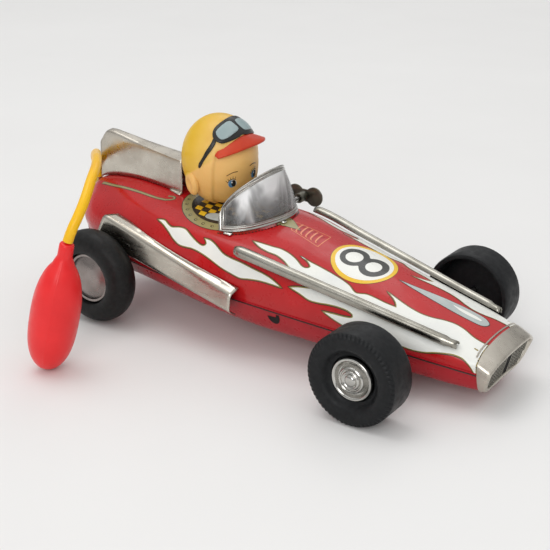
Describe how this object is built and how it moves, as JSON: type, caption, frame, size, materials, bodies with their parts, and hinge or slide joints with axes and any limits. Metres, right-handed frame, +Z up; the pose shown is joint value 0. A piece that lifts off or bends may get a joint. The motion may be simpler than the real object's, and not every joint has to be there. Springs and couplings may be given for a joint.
{
  "type": "wind-up tin racing car",
  "caption": "Wind-up tin racing car with a vinyl-headed driver, plated side pods, a key at its side and a squeeze bulb on an air hose.",
  "frame": {"origin": "on the ground, under the middle of the car's length and width", "axes": "+X towards the nose, +Y towards the driver's left, +Z up"},
  "size_m": [0.262, 0.1804, 0.112],
  "materials": {
    "red_print": "gloss, printed",
    "plated_tin": "satin",
    "chrome": "bright",
    "steel": "satin",
    "dark_steel": "oiled",
    "brass": "satin",
    "black_rubber": "satin",
    "bellows_rubber": "matt",
    "head_vinyl": "painted vinyl, satin",
    "hose_vinyl": "soft vinyl, satin",
    "bulb_vinyl": "soft vinyl, gloss",
    "clear_plastic": "clear"
  },
  "bodies": {
    "car": {"body_shell": "red_print", "base_pan": "red_print", "nose_ring": "plated_tin", "nose_grille": "dark_steel", "tail_fin": "plated_tin", "windscreen_pane": "clear_plastic", "windscreen_frame": "chrome", "exhaust_strip_left": "plated_tin", "exhaust_strip_right": "plated_tin", "side_pod_left": "plated_tin", "side_pod_right": "plated_tin", "driver_head": "head_vinyl", "front_bearing_left": "plated_tin", "front_bearing_right": "plated_tin", "motor_plate_left": "plated_tin", "motor_plate_right": "plated_tin", "motor_pillar_1": "plated_tin", "motor_pillar_2": "plated_tin", "motor_pillar_3": "plated_tin", "motor_pillar_4": "plated_tin", "mainspring": "steel", "key_bush": "dark_steel", "hose_nipple": "brass", "air_bellows": "bellows_rubber", "brake_pin": "steel", "air_hose": "hose_vinyl", "squeeze_bulb": "bulb_vinyl"},
    "rear_wheels": {"rear_axle": "steel", "rear_tyre_left": "black_rubber", "rear_tyre_right": "black_rubber", "rear_hub_left": "plated_tin", "rear_hub_right": "plated_tin", "axle_pinion": "brass"},
    "front_wheels": {"front_axle": "steel", "front_tyre_left": "black_rubber", "front_tyre_right": "black_rubber", "front_cap_left": "chrome", "front_cap_right": "chrome"},
    "winding": {"winding_arbor": "steel", "winding_key": "dark_steel", "ratchet_wheel": "steel"},
    "great_gear": {"great_wheel": "brass"},
    "second_gear": {"second_staff": "steel", "second_wheel": "brass"},
    "third_gear": {"third_staff": "steel", "third_wheel": "brass"},
    "idler_gear": {"idler_staff": "steel"},
    "click": {"ratchet_click": "steel"},
    "brake": {"brake_lever": "steel"}
  },
  "joints": [
    {"name": "rear_axle_spin", "type": "hinge", "parent": "car", "child": "rear_wheels", "pos_m": [-0.091, 0, 0.0255], "axis": [0, 1, 0], "continuous": true},
    {"name": "front_axle_spin", "type": "hinge", "parent": "car", "child": "front_wheels", "pos_m": [0.0814, 0, 0.0225], "axis": [0, 1, 0], "continuous": true},
    {"name": "key_turn", "type": "hinge", "parent": "car", "child": "winding", "pos_m": [-0.0294, 0, 0.052], "axis": [0, 1, 0], "continuous": true},
    {"name": "great_wheel_spin", "type": "hinge", "parent": "car", "child": "great_gear", "pos_m": [-0.0294, 0, 0.052], "axis": [0, 1, 0], "continuous": true},
    {"name": "second_wheel_spin", "type": "hinge", "parent": "car", "child": "second_gear", "pos_m": [-0.0441, 0, 0.04568], "axis": [0, 1, 0], "continuous": true},
    {"name": "third_wheel_spin", "type": "hinge", "parent": "car", "child": "third_gear", "pos_m": [-0.06155, 0, 0.03817], "axis": [0, 1, 0], "continuous": true},
    {"name": "idler_spin", "type": "hinge", "parent": "car", "child": "idler_gear", "pos_m": [-0.08293, 0, 0.03297], "axis": [0, 1, 0], "continuous": true},
    {"name": "click_pivot", "type": "hinge", "parent": "great_gear", "child": "click", "pos_m": [-0.0218, 0, 0.0474], "axis": [0, 1, 0], "range_deg": [0, 14]},
    {"name": "brake_pivot", "type": "hinge", "parent": "car", "child": "brake", "pos_m": [-0.097, 0, 0.038], "axis": [0, 1, 0], "range_deg": [-6, 0]}
  ],
  "couplings": [
    {"joint": "idler_spin", "follows": "rear_axle_spin", "ratio": -0.83333},
    {"joint": "third_wheel_spin", "follows": "rear_axle_spin", "ratio": 0.3125},
    {"joint": "second_wheel_spin", "follows": "rear_axle_spin", "ratio": -0.14423},
    {"joint": "great_wheel_spin", "follows": "rear_axle_spin", "ratio": 0.086538}
  ]
}
